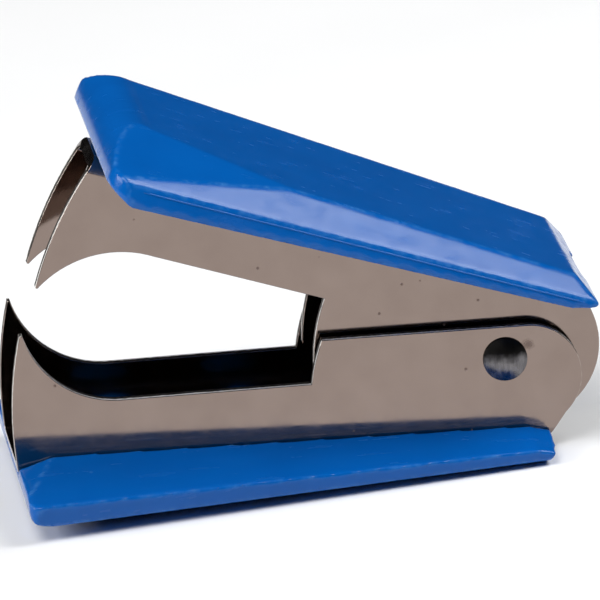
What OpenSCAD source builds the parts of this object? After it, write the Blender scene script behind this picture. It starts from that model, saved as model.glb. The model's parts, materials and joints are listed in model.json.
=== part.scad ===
// Claw-type staple remover: two pressed-steel jaws with paired claws, each held in a moulded
// plastic grip, turning on one rivet and pushed open by a torsion spring.
//
// Frame: +X runs from the claws to the pivot, Y is the pivot's direction, +Z is up. The lower
// grip's flat outer face lies on Z = 0, and the origin is the middle of the bottom of the
// bounding box. Each jaw is drawn in a jaw frame: the pivot axis at the origin, the claws at
// -X, the mouth towards +Z and the grip towards -Z. The upper jaw is the mirror image, turned
// up by the opening angle.

/* [Opening] */
// Angle between the two jaws at rest, in degrees
open_angle = 24; // [14:0.5:24]
// Height of the pivot axis above the lower grip's flat outer face
pivot_z = 9.6; // [9.5:0.1:10.2]

/* [Steel jaws] */
// Thickness of the sheet steel
sheet_t = 1.1; // [0.8:0.05:1.2]
// Width over the lower jaw's side plates, which lie outside the upper jaw's
lower_w = 12.8; // [12.4:0.1:14]
// Gap between a lower side plate and the upper side plate inside it
plate_gap = 0.6; // [0.3:0.05:0.8]
// Outside radius of the bends between the web and the side plates
bend_r = 1.7; // [1.4:0.1:2.2]
// Fall of the web towards the pivot, in millimetres per millimetre
web_fall = 0.0566; // [0.04:0.002:0.06]
// Radius of the steps that end the mouth, about the pivot on the upper jaw
step_r = 18.4; // [17:0.1:20]

/* [Grips] */
// Length of the lower grip
lower_grip_l = 52; // [48:0.1:53]
// Length of the upper grip
upper_grip_l = 50; // [47:0.1:51]
// Width of a grip at its front edge
grip_front_w = 35; // [33:0.1:37]
// Narrowing of a grip on each side, in millimetres per millimetre of length
grip_taper = 0.1084; // [0.09:0.002:0.12]
// Radius of the upper grip's front corners, seen from above
upper_corner_r = 3; // [1.5:0.1:3]
// Radius of the lower grip's front corners, seen from above
lower_corner_r = 1.2; // [1:0.1:3]
// Radius of the upper grip's rounded front end, seen from the side
upper_nose_r = 3.5; // [2.5:0.1:4]
// Radius of the lower grip's front end under its front edge
lower_nose_r = 1.2; // [0.8:0.1:1.6]
// Rise of the lower grip's underside towards its edges, in millimetres per millimetre
under_rise = 0.32; // [0.25:0.01:0.33]

/* [Pivot] */
// Diameter of the rivet's shank
rivet_d = 3; // [2.6:0.1:3.2]
// Diameter of the rivet's heads
rivet_head_d = 4.3; // [4.1:0.1:5.4]
// Radial running clearance of the upper jaw's holes on the rivet
rivet_fit = 0.08; // [0.03:0.01:0.1]

/* [Spring] */
// Diameter of the spring wire
wire_d = 0.9; // [0.7:0.05:1]
// Mean radius of the spring's coils
coil_r = 2.7; // [2.4:0.05:3]
// Whole turns in the coil, besides the part turn between the legs
coil_turns = 5; // [3:1:5]

/* [Hidden] */
$fn = 96;

// Colours
steel = "#93857c";
blue = "#0a57ad";
rivet_steel = "#4a4a4e";
spring_steel = "#6d6f73";

// Clearance between a grip and the channel seated in it
seat_gap = 0.05;
// Reach of the cutting blocks, larger than anything they cut
far = 80;

// Upper jaw, which fits between the lower side plates
upper_w = lower_w - 2 * sheet_t - 2 * plate_gap;
// The upper channel and its grip sit this much further from the pivot than the lower ones
upper_drop = 0.45;

// Side plate outlines, in the jaw frame: [centre, radius] of each arc and the ends of the lines
lower_front = [[-10.07, -2.5], 37.92];
lower_gully = [[-36.89, 10], 9.6];
lower_tip_z = 7.9;
lower_mouth_end = [-15, -0.45];
lower_step_c = [-0.74, -3.49];
lower_plate_top = [[-17.9, 4.02], [2.14, 3.11]];
lower_rear = [[2.14, -2.11], 5.22];
lower_rear_foot = [3.3, -8.95];

upper_front = [[-7.03, 4], 38.6];
upper_gully = [[-35.58, 11.35], 10.6];
upper_tip_z = 7.1;
upper_mouth_end = [-15, -0.3];
upper_plate_top = [[-17.1, 6.85], [1.39, 6.65]];
upper_rear = [[1.39, -1.13], 7.78];
upper_heel = [5.87, 5.81];
// Straight edges that run into a round one are aimed this far inside it, so that they cross it
aim_in = 0.1;

// Depth of the web's outer face below the pivot at the front of each channel
lower_web = [-47.85, -6.15];
upper_web = [-44.9, -6.25 - upper_drop];
plate_floor = -12;

// Grips: front edge, the seam against the side plates, and the flange, with the length and the
// drop of the bevels at its two ends
lower_grip_x = -47.85;
upper_grip_x = -44.4;
seam_z = -4.15;
seam_y = 6.37;
flange_fall = 0.14;
lower_bevel = [3.5, 1.05];
upper_bevel = [5.4, 2.5];
rear_bevel = [2.4, 0.6];
// How far the nose's round stands out from the face behind it
nose_in = 0.06;
// Ridge and lower edge of the skirt at the two stations: depth below the pivot
station = [4, 48];
ridge = [6.03, 7.56];
skirt = [8.04, 9];
skirt_draft = 0.5;
// Upper grip: depth of its flat outer face at the two stations, the chamfer at its rear, and the
// slope of the facet along each side
upper_flat = [10.9, 10.4];
upper_chamfer = [2.7, 1.65];
facet_slope = 0.65;
// The -Y facet narrows from its full width at facet_x to a point: [x, distance in] of the point.
// The flat face is eased down to it, as far across as ease_y
facet_x = 18;
facet_tip = [3.1, 0.95];
ease_y = 5;
// Lower grip: depth of its front edge, and the slant of its rear end
lower_front_z = 7.9;
lower_chamfer = [1.2, 2.1];

// Studs that hold each grip through two holes in the web
stud_r = 2;
stud_fit = 0.03;
stud_head = [2.9, 0.9];
stud_dome_r = 6;
stud_x = [-37, -24];

// Rivet heads
rivet_head_h = 0.95;
rivet_rim = 0.2;

// Spring: pitch of the coil, how far its legs reach along the webs, and their gap from the webs
coil_pitch = wire_d + 0.1;
leg_x = -13.5;
leg_gap = 0.03;
rings_per_turn = 16;
wire_sides = 10;

// Middle of the bounding box, from the lower claws' front to the upper jaw's rear
front_x = lower_front[0].x - lower_front[1];
rear_c = upper_rear[0];
rear_x = rear_c.x * cos(open_angle) - rear_c.y * sin(open_angle) + upper_rear[1];
pivot_x = -(front_x + rear_x) / 2;

// ---- Placing ----

// Puts what is drawn in the jaw frame in its place as part of the lower jaw
module as_lower() {
  translate([pivot_x, 0, pivot_z]) children();
}

// Puts what is drawn in the jaw frame in its place as part of the upper jaw
module as_upper() {
  translate([pivot_x, 0, pivot_z]) rotate([0, open_angle, 0]) mirror([0, 0, 1]) children();
}

// Everything beyond the plane through p, on the side that n points to
module beyond(p, n) {
  translate(p) rotate([0, acos(n.z / norm(n)), atan2(n.y, n.x)])
    translate([-far, -far, 0]) cube([2 * far, 2 * far, far]);
}

// Everything beyond the plane through three points, on the side away from the jaw's centre line
module beyond_plane(a, b, c, side) {
  n = cross(b - a, c - a);
  beyond(a, n.y * side > 0 ? n : -n);
}

// Extrudes an outline drawn in X and Z evenly about the middle plane
module across(w) {
  rotate([90, 0, 0]) linear_extrude(w, center = true) children();
}

// ---- Steel jaws ----

// Outline of the U-shaped channel: the web along the bottom, open at the top
module channel_outline(w, r) {
  translate([-w / 2, r]) square([w, far]);
  translate([r - w / 2, 0]) square([w - 2 * r, r + 1]);
  for (s = [-1, 1]) translate([s * (w / 2 - r), r]) circle(r);
}

// Runs a channel outline along the falling web, from well ahead of the claws
module along_web(web) {
  translate([web.x, 0, web.y]) rotate([0, atan(web_fall), 0])
    translate([-10, 0, 0]) rotate([90, 0, 90]) linear_extrude(far) children();
}

// Bent sheet: web and two side plates
module channel(web, w) {
  along_web(web) difference() {
    channel_outline(w, bend_r);
    translate([0, sheet_t]) channel_outline(w - 2 * sheet_t, bend_r - sheet_t);
  }
}

// The whole space within a channel's outer faces, with a clearance
module channel_space(web, w, gap) {
  along_web(web) translate([0, -gap]) channel_outline(w + 2 * gap, bend_r + gap);
}

// Round block through both side plates
module disc(arc) {
  translate([arc[0].x, 0, arc[0].y]) rotate([90, 0, 0])
    cylinder(h = far, r = arc[1], center = true, $fn = 240);
}

// Block through both side plates with a straight-sided outline in X and Z
module panel(points) {
  across(far) polygon(points);
}

// The part of the side plates ahead of the pivot: web strip and curved claws
module claws(front, gully, tip_z) {
  intersection() {
    disc(front);
    union() {
      panel([[-far, plate_floor], [1 - step_r, plate_floor], [1 - step_r, 2], [-far, 2]]);
      panel([
        [-far, plate_floor], [gully[0].x, plate_floor], [gully[0].x, tip_z], [-far, tip_z]
      ]);
    }
  }
}

// The open mouth: the claws' hollow side, the mouth edge and the round step that ends it
module mouth(gully, mouth_end, step_c) {
  floor_x = gully[0].x;
  floor_z = gully[0].y - gully[1];
  difference() {
    union() {
      disc(gully);
      panel([[floor_x, floor_z], mouth_end, [mouth_end.x, far], [floor_x, far]]);
    }
    disc([step_c, step_r]);
  }
}

// Point where the line from p touches a circle, on the side given
function touch(c, r, p, side) =
  let (d = p - c, a = atan2(d.y, d.x) + side * acos(r / norm(d))) c + r * [cos(a), sin(a)];

// Solid with the side view of the lower side plates
module lower_plates() {
  rear_touch = touch(lower_rear[0], lower_rear[1] - aim_in, lower_rear_foot, 1);
  difference() {
    union() {
      claws(lower_front, lower_gully, lower_tip_z);
      disc(lower_rear);
      panel([
        [-step_r - 1, plate_floor], [-step_r - 1, lower_plate_top[0].y], lower_plate_top[0],
        lower_plate_top[1], lower_rear[0], rear_touch, lower_rear_foot,
        [lower_rear_foot.x, plate_floor]
      ]);
    }
    mouth(lower_gully, lower_mouth_end, lower_step_c);
  }
}

// Solid with the side view of the upper side plates
module upper_plates() {
  c = upper_rear[0];
  heel_r = upper_rear[1] - aim_in;
  difference() {
    union() {
      claws(upper_front, upper_gully, upper_tip_z);
      disc(upper_rear);
      panel([
        [-step_r - 1, plate_floor], [-step_r - 1, upper_plate_top[0].y], upper_plate_top[0],
        upper_plate_top[1], c, [c.x, plate_floor]
      ]);
      panel([c, touch(c, heel_r, upper_heel, -1), upper_heel, touch(c, heel_r, upper_heel, 1)]);
    }
    mouth(upper_gully, upper_mouth_end, [0, 0]);
  }
}

// Round hole right through along the pivot's direction
module pivot_hole(r) {
  rotate([90, 0, 0]) cylinder(h = far, r = r, center = true);
}

// Square to the web at x along it, starting on its outer face and pointing into the channel
module on_web(web, x) {
  translate([x, 0, web.y - (x - web.x) * web_fall]) rotate([0, atan(web_fall), 0]) children();
}

module stud_holes(web) {
  for (x = stud_x) on_web(web, x)
    translate([0, 0, -1]) cylinder(h = sheet_t + 2, r = stud_r + stud_fit);
}

module lower_jaw() {
  color(steel) as_lower() difference() {
    intersection() {
      channel(lower_web, lower_w);
      lower_plates();
    }
    pivot_hole(rivet_d / 2);
    stud_holes(lower_web);
  }
}

module upper_jaw() {
  color(steel) as_upper() difference() {
    intersection() {
      channel(upper_web, upper_w);
      upper_plates();
    }
    pivot_hole(rivet_d / 2 + rivet_fit);
    stud_holes(upper_web);
  }
}

// ---- Plastic grips ----

// Half width of a grip at the ridge where the flange meets the skirt
function half_w(x) = grip_front_w / 2 - grip_taper * x;

// Value at x of a line given by its values at the two stations
function at_station(v, x) =
  v[0] + (v[1] - v[0]) * (x - station[0]) / (station[1] - station[0]);

// Plan of a grip: straight front with corners of radius r, narrowing towards the pivot
module grip_plan(l, r) {
  side = [grip_taper, 1] / norm([grip_taper, 1]);
  corner = [r, half_w(r) - r * norm([grip_taper, 1])];
  corner_side = corner + r * side;
  for (s = [0, 1]) mirror([0, s]) {
    translate(corner) circle(r);
    polygon([[0, -1], [0, corner.y], corner, corner_side, [l, half_w(l)], [l, -1]]);
  }
}

// Side view of a grip: rounded nose down to front_z, a rise from there to the outer face, whose
// depth is given where it begins and ends, and a chamfer at the rear
module grip_side(l, outer, r, front_z, rise, chamfer) {
  nose = [r, r - front_z];
  leave = nose - (r - nose_in) * [sin(atan(rise)), cos(atan(rise))];
  translate(nose) circle(r);
  polygon([
    [0, seam_z + 1], [0, nose.y], nose, leave,
    if (rise > 0) [leave.x + (outer[0] + leave.y) / rise, -outer[0]],
    [l - chamfer[0], -outer[1]], [l, chamfer[1] - outer[1]], [l, seam_z + 1]
  ]);
}

// Points at x on one side of a grip: on its ridge, on the skirt's lower edge, and on the facet at
// a distance in from that edge
function on_ridge(x, side) = [x, half_w(x) * side, -at_station(ridge, x)];
function on_skirt(x, side) = [x, (half_w(x) - skirt_draft) * side, -at_station(skirt, x)];
function on_facet(x, side, inset) = on_skirt(x, side) - inset * [0, side, facet_slope];

// Width of the facet at x, from the skirt to the flat face
function facet_w(x) = (at_station(upper_flat, x) - at_station(skirt, x)) / facet_slope;

// The sloping flange and the draft of the skirt, cut from one side of a grip
module flange_cuts(l, side) {
  x0 = station[0];
  x1 = station[1];
  rear_z = seam_z - (l - rear_bevel[0]) * web_fall;
  beyond([0, seam_y * side, seam_z], [web_fall, flange_fall * side, 1]);
  beyond([l - rear_bevel[0], seam_y * side, rear_z],
         [rear_bevel[1] / rear_bevel[0] + web_fall, flange_fall * side, 1]);
  beyond_plane(on_ridge(x0, side), on_ridge(x1, side), on_skirt(x0, side), side);
}

// The bevel right across the front of the flange
module front_bevel(bevel) {
  beyond([bevel[0], 0, seam_z - bevel[0] * web_fall], [-bevel[1] / bevel[0], 0, 1]);
}

// The facet along one side of the upper grip
module facet_cut(side) {
  x1 = station[1];
  beyond_plane(on_skirt(station[0], side), on_skirt(x1, side), on_facet(x1, side, facet_w(x1)), side);
}

// The easing of the flat face down to the point of the facet
module ease_cut(side) {
  tip = on_facet(facet_tip[0], side, facet_tip[1]);
  edge = on_facet(facet_x, side, facet_w(facet_x));
  beyond_plane(tip, edge, [tip.x, ease_y * side, -at_station(upper_flat, tip.x)], side);
}

// The gently rising underside of the lower grip, along one side
module under_cut(side) {
  low = on_skirt(station[0], side);
  beyond_plane(low, on_skirt(station[1], side), low - [0, side, under_rise], side);
}

// Stud moulded on the grip, with its head spread inside the channel
module stud(web, x) {
  on_web(web, x) {
    translate([0, 0, -1]) cylinder(h = sheet_t + 1.2, r = stud_r);
    translate([0, 0, sheet_t + seat_gap]) rotate_extrude() intersection() {
      square(stud_head);
      translate([0, stud_head[1] - stud_dome_r]) circle(stud_dome_r);
    }
  }
}

// Grip blank: the child's side view cut to the plan, with the flange cut; its front edge is at
// X = 0, and otherwise it is in the jaw frame
module grip_blank(l, corner_r, bevel) {
  difference() {
    intersection() {
      translate([0, 0, -far / 2]) linear_extrude(far) grip_plan(l, corner_r);
      across(far) children();
    }
    for (side = [-1, 1]) flange_cuts(l, side);
    front_bevel(bevel);
  }
}

// Cuts the seat of the channel from a grip, and adds the two studs
module seated(web, w) {
  difference() {
    children();
    channel_space(web, w, seat_gap);
  }
  for (x = stud_x) stud(web, x);
}

module lower_grip() {
  color(blue) as_lower() seated(lower_web, lower_w) translate([lower_grip_x, 0, 0]) difference() {
    grip_blank(lower_grip_l, lower_corner_r, lower_bevel) grip_side(
      lower_grip_l, [pivot_z, pivot_z], lower_nose_r, lower_front_z, under_rise, lower_chamfer);
    for (side = [-1, 1]) under_cut(side);
  }
}

module upper_grip() {
  l = upper_grip_l;
  outer = [for (x = [upper_nose_r, l - upper_chamfer[0]]) at_station(upper_flat, x)];
  color(blue) as_upper() seated(upper_web, upper_w)
    translate([upper_grip_x, 0, -upper_drop]) difference() {
      grip_blank(l, upper_corner_r, upper_bevel)
        grip_side(l, outer, upper_nose_r, outer[0] + nose_in, 0, upper_chamfer);
      for (side = [-1, 1]) facet_cut(side);
      ease_cut(-1);
    }
}

// ---- Pivot ----

// Domed head, standing on Z = 0
module rivet_head() {
  r = rivet_head_d / 2;
  rise = rivet_head_h - rivet_rim;
  ball = (r * r + rise * rise) / (2 * rise);
  rotate_extrude() {
    square([r, rivet_rim]);
    intersection() {
      translate([0, rivet_head_h - ball]) circle(ball);
      translate([0, rivet_rim - 0.01]) square([r, rivet_head_h]);
    }
  }
}

module pivot_rivet() {
  color(rivet_steel) as_lower() {
    rotate([90, 0, 0]) cylinder(h = lower_w, r = rivet_d / 2, center = true);
    for (s = [-1, 1]) translate([0, s * lower_w / 2, 0]) rotate([-90 * s, 0, 0]) rivet_head();
  }
}

// ---- Torsion spring ----

// Height of the wire's centre where a leg lies on the inner face of a web, at leg_x
function leg_z(web) =
  web.y - (leg_x - web.x) * web_fall + (sheet_t + wire_d / 2) * norm([web_fall, 1]) + leg_gap;

// Angle about the pivot at which a leg leaves the coil, below the pivot in the jaw frame
function leave_angle(end) =
  let (c = touch([0, 0], coil_r, end, 1)) atan2(c.y, c.x);

// A leg's end in the jaw frame of the upper jaw, seen in the frame of the lower jaw
function from_upper(p) =
  [p.x * cos(open_angle) - p.y * sin(open_angle), -p.x * sin(open_angle) - p.y * cos(open_angle)];

lower_leg = [leg_x, leg_z(lower_web)];
upper_leg = [leg_x, leg_z(upper_web)];
coil_start = leave_angle(lower_leg);
coil_end = -leave_angle(upper_leg) - open_angle + 360 * coil_turns;
coil_half = coil_pitch * (coil_end - coil_start) / 720;

// Centre line of the wire: lower leg, coil, upper leg
function wire_path() =
  let (
    steps = ceil((coil_end - coil_start) / 360 * rings_per_turn),
    upper_end = from_upper(upper_leg),
    coil = [for (i = [0:steps])
      let (a = coil_start + (coil_end - coil_start) * i / steps)
      [coil_r * cos(a), coil_half * (1 - 2 * i / steps), coil_r * sin(a)]]
  )
  concat([[lower_leg.x, coil_half, lower_leg.y]], coil, [[upper_end.x, -coil_half, upper_end.y]]);

// Round tube along a path, with a flat end at each end
module tube(path, d) {
  n = len(path);
  ring = function(i)
    let (
      t = path[min(i + 1, n - 1)] - path[max(i - 1, 0)],
      u = cross(t, [0, 1, 0]) / norm(cross(t, [0, 1, 0])),
      w = cross(u, t) / norm(cross(u, t))
    )
    [for (k = [0:wire_sides - 1])
      let (a = 360 * k / wire_sides) path[i] + d / 2 * (cos(a) * u + sin(a) * w)];
  points = [for (i = [0:n - 1]) each ring(i)];
  faces = concat(
    [[for (k = [0:wire_sides - 1]) k]],
    [for (i = [0:n - 2], k = [0:wire_sides - 1])
      let (a = i * wire_sides, b = (k + 1) % wire_sides)
      [a + k, a + wire_sides + k, a + wire_sides + b, a + b]],
    [[for (k = [wire_sides - 1:-1:0]) (n - 1) * wire_sides + k]]
  );
  polyhedron(points, faces);
}

module torsion_spring() {
  color(spring_steel) as_lower() tube(wire_path(), wire_d);
}

lower_jaw();
upper_jaw();
lower_grip();
upper_grip();
pivot_rivet();
torsion_spring();
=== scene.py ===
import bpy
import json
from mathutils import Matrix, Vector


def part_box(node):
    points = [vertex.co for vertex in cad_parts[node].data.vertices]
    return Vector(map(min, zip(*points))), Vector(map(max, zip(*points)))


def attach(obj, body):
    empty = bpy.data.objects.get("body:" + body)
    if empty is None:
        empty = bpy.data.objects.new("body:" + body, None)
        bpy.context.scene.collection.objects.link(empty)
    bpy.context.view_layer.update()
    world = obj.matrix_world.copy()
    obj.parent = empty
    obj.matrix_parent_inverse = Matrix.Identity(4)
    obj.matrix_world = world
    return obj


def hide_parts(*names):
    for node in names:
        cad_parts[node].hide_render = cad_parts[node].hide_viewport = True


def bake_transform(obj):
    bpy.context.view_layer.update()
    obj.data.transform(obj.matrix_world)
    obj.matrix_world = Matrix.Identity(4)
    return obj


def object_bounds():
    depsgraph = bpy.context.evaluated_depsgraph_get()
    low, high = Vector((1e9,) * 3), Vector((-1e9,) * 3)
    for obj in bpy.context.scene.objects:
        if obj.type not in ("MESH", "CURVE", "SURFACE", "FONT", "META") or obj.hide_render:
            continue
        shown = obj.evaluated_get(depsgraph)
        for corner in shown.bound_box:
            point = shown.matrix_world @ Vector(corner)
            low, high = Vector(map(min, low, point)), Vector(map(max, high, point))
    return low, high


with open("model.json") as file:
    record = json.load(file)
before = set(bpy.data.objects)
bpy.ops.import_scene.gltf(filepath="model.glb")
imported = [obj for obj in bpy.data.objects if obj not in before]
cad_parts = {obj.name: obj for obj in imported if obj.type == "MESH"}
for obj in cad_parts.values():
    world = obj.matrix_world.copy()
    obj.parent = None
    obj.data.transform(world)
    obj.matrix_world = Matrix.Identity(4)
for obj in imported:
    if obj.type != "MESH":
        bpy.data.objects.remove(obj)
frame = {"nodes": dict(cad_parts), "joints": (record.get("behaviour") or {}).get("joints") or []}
cad_box = [list(corner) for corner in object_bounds()]

import json
import math

import bmesh
import bpy
from mathutils import Matrix, Vector
from mathutils.kdtree import KDTree

MM = 0.001
HINGE = Vector(frame["joints"][0]["pos_m"])

# The camera's direction from the hinge, its roll, distance and lens, and where it aims beside the hinge
VIEW_AZIMUTH = math.radians(-7.2)
VIEW_ELEVATION = math.radians(18.0)
VIEW_ROLL = math.radians(4.48)
VIEW_DISTANCE = 0.919
VIEW_LENS = 568
AIM_RIGHT = -18.6 * MM
AIM_UP = 5.27 * MM

# Points closer together than this are one point: on the grips and jaws, and on the rivet and spring
WELD = 0.1 * MM
FINE_WELD = 0.004 * MM

# Edges sharper than this many degrees get rounded and worn
SHARP = 20

# Thickness of the jaws' sheet, and the rounding of their edges
SHEET = 1.1 * MM
JAW_ROUNDING = 0.06 * MM

# The grid that the grips are made on, how often it is smoothed, and how far wear reaches from an edge
GRIP_GRID = 0.25 * MM
GRIP_PASSES = 7
WEAR_REACH = 0.4 * MM

# The parting line: its width and height, how high it lies on the skirt at the front and at the rear,
# and how much of the skirt's length it leaves free at each end
LINE_WIDTH = 0.16 * MM
LINE_HEIGHT = 0.05 * MM
LINE_FRONT = 0.55
LINE_REAR = 0.35
LINE_FREE = 0.03

# The rivet's shank and the rounding under its head against the head's radius, and how much of the
# head's height is rim
SHANK_SHARE = 0.7
ROUNDING_SHARE = 0.06
RIM_SHARE = 0.21


# ---- Camera, floor and lights ----

def make_camera():
    back = Vector((
        math.sin(VIEW_AZIMUTH) * math.cos(VIEW_ELEVATION),
        -math.cos(VIEW_AZIMUTH) * math.cos(VIEW_ELEVATION),
        math.sin(VIEW_ELEVATION),
    ))
    right = Vector((math.cos(VIEW_AZIMUTH), math.sin(VIEW_AZIMUTH), 0))
    up = back.cross(right)
    place = HINGE + back * VIEW_DISTANCE
    aim = HINGE + right * AIM_RIGHT + up * AIM_UP
    z_axis = (place - aim).normalized()
    rolled = right * math.cos(VIEW_ROLL) - up * math.sin(VIEW_ROLL)
    x_axis = (rolled - z_axis * rolled.dot(z_axis)).normalized()
    y_axis = z_axis.cross(x_axis)
    camera = bpy.data.objects.new("camera", bpy.data.cameras.new("camera"))
    camera.matrix_world = Matrix.LocRotScale(
        place, Matrix((x_axis, y_axis, z_axis)).transposed().to_quaternion(), None)
    camera.data.lens = VIEW_LENS
    camera.data.clip_start = 0.05
    camera.data.clip_end = 20
    bpy.context.scene.collection.objects.link(camera)
    bpy.context.scene.camera = camera


def make_light(name, towards, distance, size, power, colour=(1, 1, 1)):
    """A square soft light that shines at the middle of the object from the direction given."""
    middle = Vector(((cad_box[0][i] + cad_box[1][i]) / 2 for i in range(3)))
    direction = Vector(towards).normalized()
    light = bpy.data.objects.new(name, bpy.data.lights.new(name, "AREA"))
    light.data.shape = "SQUARE"
    light.data.size = size
    light.data.energy = power
    light.data.color = colour
    light.location = middle + direction * distance
    light.rotation_euler = direction.to_track_quat("Z", "Y").to_euler()
    bpy.context.scene.collection.objects.link(light)


def make_stage():
    bpy.ops.mesh.primitive_circle_add(vertices=96, radius=2.5, fill_type="NGON")
    floor = bpy.context.object
    floor.name = "floor"
    floor.data.materials.append(pale_floor())
    make_light("key", (0.62, -0.05, 0.78), 1.0, 0.5, 8.0, (0.98, 0.99, 1.0))
    make_light("front_top", (-0.3, -0.45, 0.84), 1.1, 0.6, 7.6)
    make_light("left", (-0.86, -0.16, 0.44), 0.8, 0.4, 4.0)
    world = bpy.data.worlds.new("studio")
    world.use_nodes = True
    world.node_tree.nodes["Background"].inputs["Color"].default_value = (0.01, 0.01, 0.0105, 1)
    bpy.context.scene.world = world
    bpy.context.scene.view_settings.view_transform = "Standard"


# ---- Shader helpers ----

def new_material(name):
    material = bpy.data.materials.new(name)
    material.use_nodes = True
    tree = material.node_tree
    return material, tree, tree.nodes["Principled BSDF"]


def add(tree, kind, inputs=None, **settings):
    """A new node with its settings, and its inputs set to values or linked to other nodes' outputs."""
    node = tree.nodes.new(kind)
    for key, value in settings.items():
        setattr(node, key, value)
    for key, value in (inputs or {}).items():
        if isinstance(value, bpy.types.NodeSocket):
            tree.links.new(value, node.inputs[key])
        else:
            node.inputs[key].default_value = value
    return node


def feed(tree, output, socket):
    tree.links.new(output, socket)


def place_of(tree, stretch=(1, 1, 1)):
    """Where a point lies on its piece, in metres, stretched along the axes if asked."""
    place = add(tree, "ShaderNodeTexCoord").outputs["Object"]
    if stretch == (1, 1, 1):
        return place
    return add(tree, "ShaderNodeMapping", {"Vector": place, "Scale": stretch}).outputs["Vector"]


def grain(tree, size, stretch=(1, 1, 1), detail=3):
    """Noise whose features are about size metres across."""
    return add(tree, "ShaderNodeTexNoise", {
        "Vector": place_of(tree, stretch), "Scale": 1 / size, "Detail": detail}).outputs["Fac"]


def spread(tree, value, low, high, to_low=0.0, to_high=1.0):
    """Moves low..high to to_low..to_high, and stops at both ends."""
    return add(tree, "ShaderNodeMapRange", {
        "Value": value, "From Min": low, "From Max": high, "To Min": to_low, "To Max": to_high,
    }).outputs["Result"]


def calc(tree, operation, a, b):
    return add(tree, "ShaderNodeMath", {0: a, 1: b}, operation=operation).outputs[0]


def blend_colours(tree, amount, a, b):
    """Colour a where amount is 0 and b where it is 1."""
    mix = add(tree, "ShaderNodeMix", {0: amount}, data_type="RGBA")
    for key, value in ((6, a), (7, b)):
        if isinstance(value, bpy.types.NodeSocket):
            tree.links.new(value, mix.inputs[key])
        else:
            mix.inputs[key].default_value = (*value, 1)
    return mix.outputs[2]


def specks(tree, cell, size, share):
    """Small round marks, one in some of the cells: cell in metres, size and share from 0 to 1."""
    cells = add(tree, "ShaderNodeTexVoronoi", {"Vector": place_of(tree), "Scale": 1 / cell})
    marks = spread(tree, cells.outputs["Distance"], size, size * 0.4)
    chance = add(tree, "ShaderNodeSeparateColor", {0: cells.outputs["Color"]}).outputs[0]
    return calc(tree, "MULTIPLY", marks, calc(tree, "LESS_THAN", chance, share))


def stain(tree, centre, radius):
    """1 at a point of the piece, fading unevenly to 0 at the radius."""
    away = add(tree, "ShaderNodeVectorMath", {0: place_of(tree), 1: centre}, operation="DISTANCE")
    uneven = calc(tree, "MULTIPLY", grain(tree, 0.9 * MM), radius)
    return spread(tree, calc(tree, "ADD", away.outputs["Value"], uneven), radius * 1.3, radius * 0.5)


def add_bump(tree, surface, heights):
    """Relief from [height output, strength, depth in metres], the finest last."""
    normal = None
    for height, strength, depth in heights:
        bump = add(tree, "ShaderNodeBump", {"Height": height, "Strength": strength, "Distance": depth})
        if normal:
            tree.links.new(normal, bump.inputs["Normal"])
        normal = bump.outputs["Normal"]
    tree.links.new(normal, surface.inputs["Normal"])


def worn(tree, size, low, high):
    """Edge wear: the rounding of the edges, broken up by noise; on the steel it also carries a painted
    glint.
    """
    edge = add(tree, "ShaderNodeAttribute", attribute_name="wear").outputs["Fac"]
    return calc(tree, "MULTIPLY", edge, spread(tree, grain(tree, size, detail=5), low, high))


# ---- Materials ----

def pale_floor():
    material, tree, surface = new_material("pale_floor")
    tone = spread(tree, grain(tree, 60 * MM), 0.3, 0.7)
    colour = blend_colours(tree, tone, (0.83, 0.83, 0.83), (0.87, 0.87, 0.87))
    feed(tree, colour, surface.inputs["Base Color"])
    surface.inputs["Roughness"].default_value = 0.9
    surface.inputs["Specular IOR Level"].default_value = 0.1
    return material


def blue_plastic():
    """Glossy moulded plastic, scuffed along its length and paler on its worn edges."""
    material, tree, surface = new_material("blue_plastic")
    tone = spread(tree, grain(tree, 6 * MM, detail=4), 0.3, 0.7)
    body = blend_colours(tree, tone, (0.0005, 0.087, 0.36), (0.0007, 0.096, 0.39))
    rubbed = calc(tree, "MULTIPLY", worn(tree, 0.8 * MM, 0.42, 0.68), 0.55)
    dusty = calc(tree, "MULTIPLY", specks(tree, 3.2 * MM, 0.075, 0.35), 0.35)
    paler = calc(tree, "MAXIMUM", rubbed, dusty)
    feed(tree, blend_colours(tree, paler, body, (0.06, 0.22, 0.52)), surface.inputs["Base Color"])
    scuffs = spread(tree, grain(tree, 1.1 * MM, (0.12, 1, 1), 5), 0.5, 0.72)
    mottle = spread(tree, grain(tree, 1.6 * MM, detail=5), 0.35, 0.75, 0.13, 0.2)
    rough = calc(tree, "ADD", mottle, calc(tree, "MULTIPLY", scuffs, 0.16))
    feed(tree, calc(tree, "ADD", rough, calc(tree, "MULTIPLY", paler, 0.2)), surface.inputs["Roughness"])
    surface.inputs["IOR"].default_value = 1.33
    add_bump(tree, surface, [
        (grain(tree, 9 * MM, detail=1), 0.2, 0.1 * MM),
        (scuffs, 0.08, 0.006 * MM),
        (grain(tree, 0.35 * MM), 0.1, 0.01 * MM),
    ])
    return material


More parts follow.
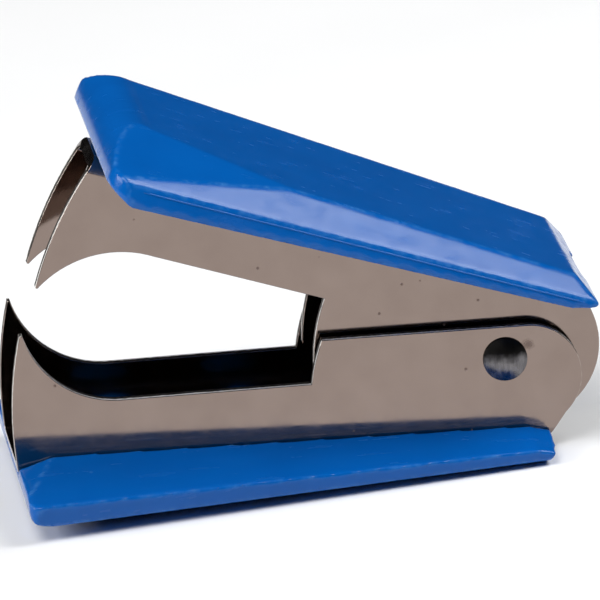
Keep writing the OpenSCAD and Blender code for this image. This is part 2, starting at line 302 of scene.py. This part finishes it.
def rolled_steel(stains):
    """Plated sheet steel with a fine rolled grain, dark specks, and a rust stain at each place given."""
    material, tree, surface = new_material("rolled_steel")
    tone = spread(tree, grain(tree, 3.5 * MM, detail=4), 0.3, 0.7)
    body = blend_colours(tree, tone, (0.247, 0.191, 0.165), (0.269, 0.21, 0.182))
    dirt = specks(tree, 1.9 * MM, 0.1, 0.3)
    for centre, radius in stains:
        dirt = calc(tree, "MAXIMUM", dirt, stain(tree, centre, radius))
    dirt = calc(tree, "MULTIPLY", dirt, 0.6)
    marked = blend_colours(tree, dirt, body, (0.12, 0.062, 0.04))
    # Lighter on the rounded edges: partly real wear, partly a painted glint
    wear_and_painted_glint = calc(tree, "MULTIPLY", worn(tree, 0.4 * MM, 0.35, 0.6), 0.7)
    feed(tree, blend_colours(tree, wear_and_painted_glint, marked, (0.62, 0.57, 0.52)), surface.inputs["Base Color"])
    feed(tree, calc(tree, "SUBTRACT", 1.0, dirt), surface.inputs["Metallic"])
    lines = grain(tree, 0.5 * MM, (0.05, 1, 1), 4)
    mottle = spread(tree, grain(tree, 1.2 * MM, detail=5), 0.3, 0.75, 0.07, 0.14)
    feed(tree, calc(tree, "ADD", mottle, calc(tree, "MULTIPLY", dirt, 0.5)), surface.inputs["Roughness"])
    add_bump(tree, surface, [
        (grain(tree, 5 * MM, detail=1), 0.1, 0.03 * MM),
        (lines, 0.12, 0.004 * MM),
        (dirt, 0.3, 0.01 * MM),
    ])
    return material


def sheared_steel(name, outer):
    """The edge that the press leaves: a smooth band at the outside, made near white as burnished metal and
    painted glint, and a fractured band within, made very dark as painted shade.

    outer is how far the sheet's outside is from the middle of the jaw."""
    material, tree, surface = new_material(name)
    across = add(tree, "ShaderNodeSeparateXYZ", {0: place_of(tree)}).outputs["Y"]
    depth = calc(tree, "SUBTRACT", outer, calc(tree, "ABSOLUTE", across, 0.0))
    ragged = calc(tree, "MULTIPLY", grain(tree, 0.5 * MM, detail=4), 0.5 * MM)
    smooth = spread(tree, calc(tree, "ADD", depth, ragged), 0.66 * MM, 0.56 * MM)
    tone = spread(tree, grain(tree, 0.3 * MM, detail=5), 0.35, 0.65)
    # Painted shade: the fractured band is made very dark. Painted glint: the smooth band is made near
    # white and less metallic
    torn_and_painted_shade = blend_colours(tree, tone, (0.012, 0.01, 0.009), (0.11, 0.095, 0.085))
    feed(tree, blend_colours(tree, smooth, torn_and_painted_shade, (0.92, 0.89, 0.84)), surface.inputs["Base Color"])
    feed(tree, spread(tree, smooth, 0, 1, 1, 0.35), surface.inputs["Metallic"])
    feed(tree, spread(tree, smooth, 0, 1, 0.6, 0.45), surface.inputs["Roughness"])
    add_bump(tree, surface, [
        (grain(tree, 0.5 * MM, (1, 0.4, 1), 4), 0.5, 0.05 * MM),
        (grain(tree, 0.15 * MM), 0.3, 0.02 * MM),
    ])
    return material


def drawn_steel(name, dark, light, rough, stretch, painted_dark_above=None):
    """Steel with fine lines in one direction, painted very dark above a height if one is given: a painted
    dark reflection on a dome's top.
    """
    material, tree, surface = new_material(name)
    lines = grain(tree, 0.35 * MM, stretch, 4)
    tone = spread(tree, lines, 0.3, 0.7)
    colour = blend_colours(tree, tone, dark, light)
    roughness = spread(tree, tone, 0, 1, rough, rough + 0.14)
    # Painted reflection: above the height the colour turns very dark and uneven
    if painted_dark_above is not None:
        height = add(tree, "ShaderNodeSeparateXYZ", {0: place_of(tree)}).outputs["Z"]
        uneven = calc(tree, "MULTIPLY", grain(tree, 1.1 * MM, detail=4), 1.6 * MM)
        painted_dark_top = spread(
            tree, calc(tree, "ADD", height, uneven), painted_dark_above + 0.6 * MM, painted_dark_above + 1.5 * MM)
        colour = blend_colours(tree, painted_dark_top, colour, (0.016, 0.015, 0.014))
        roughness = calc(tree, "ADD", roughness, calc(tree, "MULTIPLY", painted_dark_top, 0.2))
    feed(tree, colour, surface.inputs["Base Color"])
    surface.inputs["Metallic"].default_value = 1
    feed(tree, roughness, surface.inputs["Roughness"])
    add_bump(tree, surface, [(grain(tree, 1.5 * MM), 0.2, 0.03 * MM), (lines, 0.25, 0.008 * MM)])
    return material


# ---- Shapes ----

def shape_of(node):
    """The CAD node's shape, welded, with each flat face in one piece."""
    shape = bmesh.new()
    shape.from_mesh(frame["nodes"][node].data)
    bmesh.ops.remove_doubles(shape, verts=shape.verts, dist=WELD)
    bmesh.ops.dissolve_limit(shape, angle_limit=math.radians(0.3), verts=shape.verts, edges=shape.edges)
    return shape


def sharp_edges(shape, limit):
    return [e for e in shape.edges if len(e.link_faces) == 2 and e.calc_face_angle() > math.radians(limit)]


def round_edges(shape, edges, radius, segments):
    """Rounds the edges, even where there is little room, and marks the rounding, which the steel lightens
    as wear and painted glint.
    """
    made = bmesh.ops.bevel(
        shape, geom=edges, offset=radius, offset_type="OFFSET", segments=segments,
        profile=0.5, affect="EDGES", clamp_overlap=False, loop_slide=True)
    faces = set(made["faces"])
    wear = shape.verts.layers.float.get("wear") or shape.verts.layers.float.new("wear")
    for vert in shape.verts:
        if vert.link_faces and all(face in faces for face in vert.link_faces):
            vert[wear] = 1


def skirt_lines(shape):
    """Where the two halves of the mould met: [front, rear, outward] on each flat side of a grip."""
    lines = []
    for side in (-1, 1):
        skirt = max((f for f in shape.faces if f.normal.y * side > 0.95), key=lambda f: f.calc_area())
        corners = sorted((v.co.copy() for v in skirt.verts), key=lambda co: co.x)
        ends = []
        for group, height in ((corners[:4], LINE_FRONT), (corners[-4:], LINE_REAR)):
            low = min(group, key=lambda co: co.z)
            high = max(group, key=lambda co: co.z)
            ends.append(low.lerp(high, height))
        front = ends[0].lerp(ends[1], LINE_FREE)
        rear = ends[0].lerp(ends[1], 1 - LINE_FREE)
        lines.append([front, rear, skirt.normal.copy()])
    return lines


def add_bead(shape, front, rear, outward, width, height):
    """A thin raised line from front to rear, its ends tapered into the surface."""
    across = (rear - front).cross(outward).normalized()
    sides = 8
    taper = 0.02
    rings = []
    for share in (0, taper, 1 - taper, 1):
        middle = front.lerp(rear, share)
        tall = height if 0 < share < 1 else 0
        ring = []
        for step in range(sides):
            turn = math.tau * step / sides
            ring.append(shape.verts.new(
                middle + across * math.cos(turn) * width / 2
                + outward * (math.sin(turn) * (height + 0.02 * MM) + tall - height)))
        rings.append(ring)
    for ring, following in zip(rings, rings[1:]):
        for step in range(sides):
            after = (step + 1) % sides
            shape.faces.new((ring[step], ring[after], following[after], following[step]))
    shape.faces.new(rings[0])
    shape.faces.new(reversed(rings[-1]))


def soften(shape, grid, passes):
    """The same shape with its edges rounded, and marked as worn where they were sharp."""
    edges = KDTree(sum(int(e.calc_length() / grid) + 2 for e in sharp_edges(shape, SHARP)))
    count = 0
    for edge in sharp_edges(shape, SHARP):
        steps = int(edge.calc_length() / grid) + 1
        for step in range(steps + 1):
            edges.insert(edge.verts[0].co.lerp(edge.verts[1].co, step / steps), count)
            count += 1
    edges.balance()
    mesh = bpy.data.meshes.new("block")
    shape.to_mesh(mesh)
    block = bpy.data.objects.new("block", mesh)
    bpy.context.scene.collection.objects.link(block)
    remesh = block.modifiers.new("grid", "REMESH")
    remesh.mode = "VOXEL"
    remesh.voxel_size = grid
    smooth = block.modifiers.new("smooth", "SMOOTH")
    smooth.factor = 0.5
    smooth.iterations = passes
    bpy.context.view_layer.update()
    soft = bmesh.new()
    soft.from_mesh(block.evaluated_get(bpy.context.evaluated_depsgraph_get()).data)
    bpy.data.objects.remove(block)
    wear = soft.verts.layers.float.new("wear")
    for vert in soft.verts:
        vert[wear] = max(0, 1 - edges.find(vert.co)[2] / WEAR_REACH)
    shape.free()
    return soft


def mark_sheared(shape, sheet):
    """Gives the second material to the faces that cross the sheet's thickness."""
    for face in shape.faces:
        spans = [v.co.y for v in face.verts]
        if abs(face.normal.y) < 0.05 and max(spans) - min(spans) < sheet * 1.15:
            face.material_index = 1


def finish_piece(shape, name, node, body, materials, flat_sides=True):
    mesh = bpy.data.meshes.new(name)
    shape.to_mesh(mesh)
    shape.free()
    mesh.shade_smooth()
    piece = bpy.data.objects.new(name, mesh)
    bpy.context.scene.collection.objects.link(piece)
    for material in materials:
        mesh.materials.append(material)
    if flat_sides:
        modifier = piece.modifiers.new("even_normals", "WEIGHTED_NORMAL")
        modifier.keep_sharp = True
        modifier.weight = 100
    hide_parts(node)
    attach(piece, body)
    return piece


def make_grip(node, body, material, parting_line):
    shape = shape_of(node)
    lines = skirt_lines(shape) if parting_line else []
    shape = soften(shape, GRIP_GRID, GRIP_PASSES)
    for front, rear, outward in lines:
        add_bead(shape, front, rear, outward, LINE_WIDTH, LINE_HEIGHT)
    finish_piece(shape, node + "_shell", node, body, [material], False)


def make_jaw(node, body, faces, edges):
    shape = shape_of(node)
    mark_sheared(shape, SHEET)
    round_edges(shape, sharp_edges(shape, SHARP), JAW_ROUNDING, 2)
    finish_piece(shape, node + "_sheet", node, body, [faces, edges])


def make_rivet(material):
    """The rivet turned about its axis: a shank through both jaws and a low dome outside each."""
    low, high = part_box("pivot_rivet")
    jaw_low, jaw_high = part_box("lower_jaw")
    head = (high[0] - low[0]) / 2
    shank = head * SHANK_SHARE
    tip = (high[1] - low[1]) / 2
    seat = (jaw_high[1] - jaw_low[1]) / 2
    rim = seat + (tip - seat) * RIM_SHARE
    rounding = head * ROUNDING_SHARE
    half = [(shank, 0), (shank, seat), (head - rounding, seat), (head, seat + rounding), (head, rim)]
    for step in range(1, 13):
        radius = head * math.cos(math.radians(7.5 * step))
        half.append((radius, tip - (tip - rim) * (radius / head) ** 2))
    outline = [(r, -y) for r, y in reversed(half[1:])] + half
    shape = bmesh.new()
    points = [shape.verts.new((HINGE.x + max(r, 0), HINGE.y + y, HINGE.z)) for r, y in outline]
    edges = [shape.edges.new(pair) for pair in zip(points, points[1:])]
    bmesh.ops.spin(
        shape, geom=points + edges, cent=HINGE, axis=(0, 1, 0), angle=math.tau, steps=64, use_merge=True)
    bmesh.ops.remove_doubles(shape, verts=shape.verts, dist=FINE_WELD)
    bmesh.ops.recalc_face_normals(shape, faces=shape.faces)
    finish_piece(shape, "pivot_rivet_turned", "pivot_rivet", "lower", [material])


def make_spring(material):
    """The wire of the spring, smoothed: its two legs lie along the jaws, and it is attached to neither, so
    it does not move with them.
    """
    shape = bmesh.new()
    shape.from_mesh(frame["nodes"]["torsion_spring"].data)
    bmesh.ops.remove_doubles(shape, verts=shape.verts, dist=FINE_WELD)
    bmesh.ops.join_triangles(
        shape, faces=shape.faces, angle_face_threshold=0.7, angle_shape_threshold=3.1)
    mesh = bpy.data.meshes.new("torsion_spring_wire")
    shape.to_mesh(mesh)
    shape.free()
    wire = bpy.data.objects.new("torsion_spring_wire", mesh)
    bpy.context.scene.collection.objects.link(wire)
    smoother = wire.modifiers.new("round_wire", "SUBSURF")
    smoother.levels = 1
    smoother.render_levels = 1
    bpy.context.view_layer.update()
    smooth = bpy.data.meshes.new_from_object(wire.evaluated_get(bpy.context.evaluated_depsgraph_get()))
    wire.modifiers.clear()
    wire.data = smooth
    smooth.shade_smooth()
    smooth.materials.append(material)
    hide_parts("torsion_spring")
    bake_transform(wire)


make_camera()
make_stage()

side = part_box("lower_jaw")[0][1]
stains = [
    ((HINGE.x + 2.4 * MM, side, HINGE.z + 1.2 * MM), 0.9 * MM),
    ((HINGE.x + 6.0 * MM, side, HINGE.z + 2.0 * MM), 0.7 * MM),
]
blue = blue_plastic()
steel = rolled_steel(stains)
make_grip("lower_grip", "lower", blue, False)
make_grip("upper_grip", "upper", blue, True)
for node, body in (("lower_jaw", "lower"), ("upper_jaw", "upper")):
    outer = (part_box(node)[1][1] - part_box(node)[0][1]) / 2
    make_jaw(node, body, steel, sheared_steel("sheared_" + body, outer))
# The rivet's head is painted very dark above the hinge: a painted dark reflection on its top
make_rivet(drawn_steel(
    "rivet_steel", (0.1, 0.095, 0.1), (0.2, 0.19, 0.195), 0.2, (1, 1, 0.15), HINGE.z))
make_spring(drawn_steel("spring_wire", (0.3, 0.3, 0.31), (0.5, 0.5, 0.52), 0.24, (0.4, 1, 1)))
